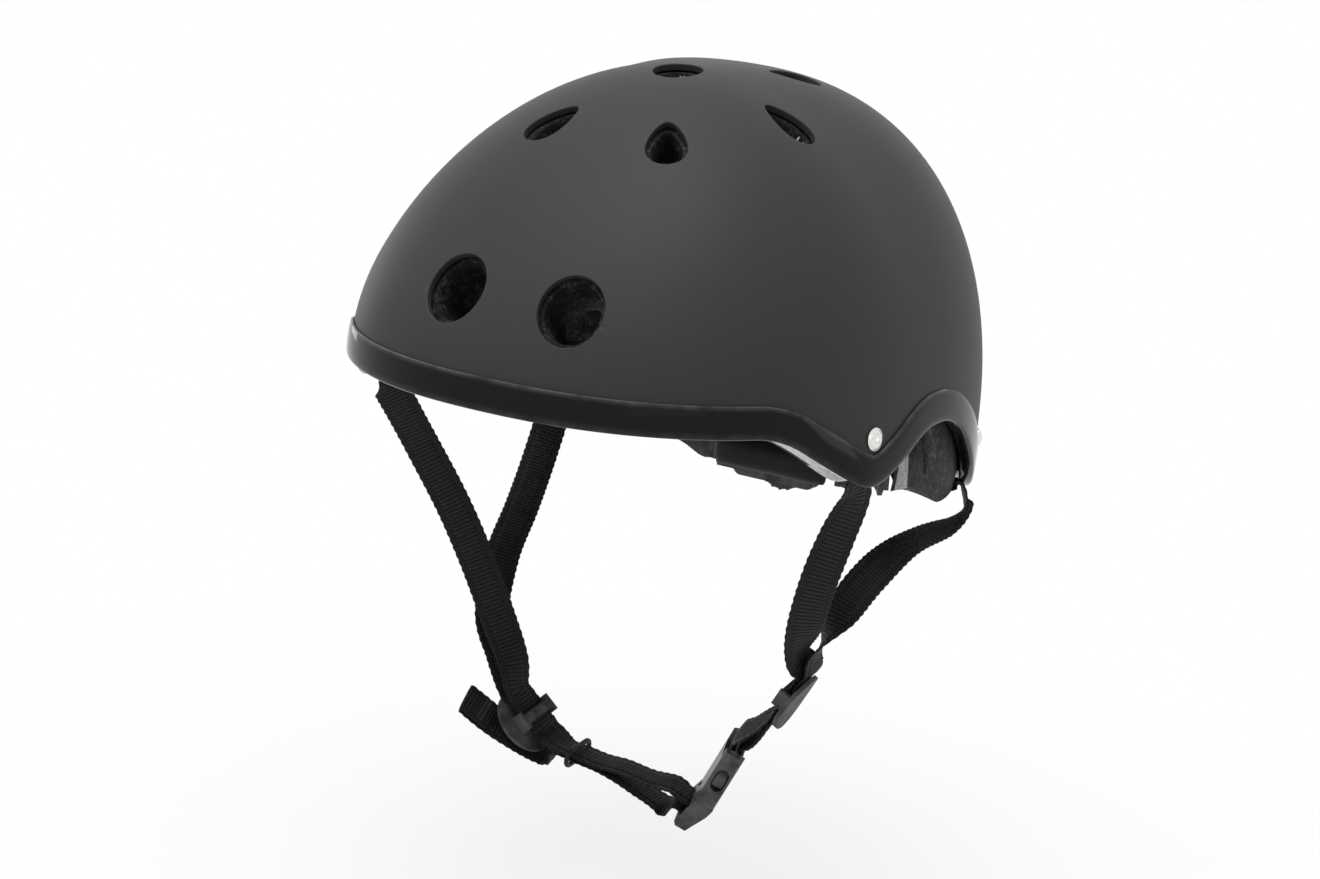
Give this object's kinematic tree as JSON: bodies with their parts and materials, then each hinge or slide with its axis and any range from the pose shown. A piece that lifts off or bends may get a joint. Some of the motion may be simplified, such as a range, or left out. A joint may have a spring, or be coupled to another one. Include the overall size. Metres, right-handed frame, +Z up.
{
  "type": "bicycle helmet",
  "caption": "Round-shell bicycle helmet with vents, foam liner, dial-adjusted fit cradle, comfort pads, V straps with dividers, keeper ring and side-release buckle.",
  "frame": {"origin": "middle of the head opening at the level of the brow edge", "axes": "+Z up, -Y towards the front of the helmet, +X towards the wearer's left"},
  "size_m": [0.237, 0.2787, 0.3037],
  "materials": {
    "shell": "matt charcoal moulded ABS with a very fine grain",
    "gloss_trim": "gloss black edge trim",
    "foam": "fused foam beads, black with light-grey specks",
    "nickel": "bright nickel plating",
    "steel": "plain zinc-plated steel",
    "pad_fabric": "brushed black knit over foam",
    "hook_patch": "black hook tape",
    "black_plastic": "satin black moulded plastic",
    "dial_plastic": "satin black moulded plastic, ribbed grip",
    "webbing": "ribbed black polyester webbing with woven edges",
    "ring_rubber": "matt black rubber"
  },
  "bodies": {
    "helmet": {"outer_shell": "shell", "edge_trim": "gloss_trim", "foam_liner": "foam", "front_rivets": "nickel", "rear_rivets": "nickel", "rivet_washers": "steel", "front_pad": "pad_fabric", "rear_pad": "pad_fabric", "side_pad_left": "pad_fabric", "side_pad_right": "pad_fabric", "crown_pad_left": "pad_fabric", "crown_pad_right": "pad_fabric", "pad_patches": "hook_patch", "cradle_casing": "black_plastic", "cradle_cover": "black_plastic", "cradle_hanger": "black_plastic", "cradle_studs": "black_plastic", "cradle_pad": "pad_fabric", "cradle_arm_left": "black_plastic", "cradle_arm_right": "black_plastic", "dial_axle": "steel", "front_strap_left": "webbing", "rear_strap_left": "webbing", "chin_strap_left": "webbing", "front_strap_right": "webbing", "rear_strap_right": "webbing", "chin_strap_right": "webbing", "buckle_socket": "black_plastic"},
    "dial": {"dial_knob": "dial_plastic", "dial_pinion": "dial_plastic"},
    "left_rack": {"rack_left": "black_plastic"},
    "right_rack": {"rack_right": "black_plastic"},
    "left_divider": {"divider_left": "black_plastic"},
    "right_divider": {"divider_right": "black_plastic"},
    "ring": {"keeper_ring": "ring_rubber"},
    "plug": {"buckle_plug": "black_plastic"},
    "front_prong": {"prong_front": "black_plastic"},
    "rear_prong": {"prong_rear": "black_plastic"}
  },
  "joints": [
    {"name": "dial_turn", "type": "hinge", "parent": "helmet", "child": "dial", "pos_m": [0, 0.108, -0.063], "axis": [0, 1, 0], "range_deg": [-130.9, 130.9]},
    {"name": "rack_left_slide", "type": "slide", "parent": "helmet", "child": "left_rack", "axis": [1, 0, 0], "range_m": [-0.008, 0.008], "deforming": ["cradle_arm_left"]},
    {"name": "rack_right_slide", "type": "slide", "parent": "helmet", "child": "right_rack", "axis": [1, 0, 0], "range_m": [-0.008, 0.008], "deforming": ["cradle_arm_right"]},
    {"name": "divider_left_slide", "type": "slide", "parent": "helmet", "child": "left_divider", "axis": [-0.5071, 0.169, -0.8452], "range_m": [-0.002, 0.005]},
    {"name": "divider_right_slide", "type": "slide", "parent": "helmet", "child": "right_divider", "axis": [0.7001, 0.14, -0.7001], "range_m": [-0.003, 0]},
    {"name": "keeper_ring_slide", "type": "slide", "parent": "helmet", "child": "ring", "axis": [0.9886, 0.0593, -0.1384], "range_m": [-0.005, 0.008]},
    {"name": "buckle_release", "type": "slide", "parent": "helmet", "child": "plug", "axis": [-0.4309, -0.0301, -0.9019], "range_m": [0, 0.03], "deforming": ["chin_strap_right", "prong_front", "prong_rear"]},
    {"name": "prong_front_press", "type": "hinge", "parent": "plug", "child": "front_prong", "pos_m": [0.04241, -0.01188, -0.17588], "axis": [-0.8313, -0.3757, 0.4097], "range_deg": [0, 8.5], "stiffness_Nm_per_rad": 0.3},
    {"name": "prong_rear_press", "type": "hinge", "parent": "plug", "child": "rear_prong", "pos_m": [0.037, 0.00238, -0.17377], "axis": [0.8313, 0.3757, -0.4097], "range_deg": [0, 8.5], "stiffness_Nm_per_rad": 0.3}
  ],
  "couplings": [
    {"joint": "dial_turn", "follows": "rack_left_slide", "rad_per_m": 285.71},
    {"joint": "rack_right_slide", "follows": "rack_left_slide", "ratio": -1}
  ]
}
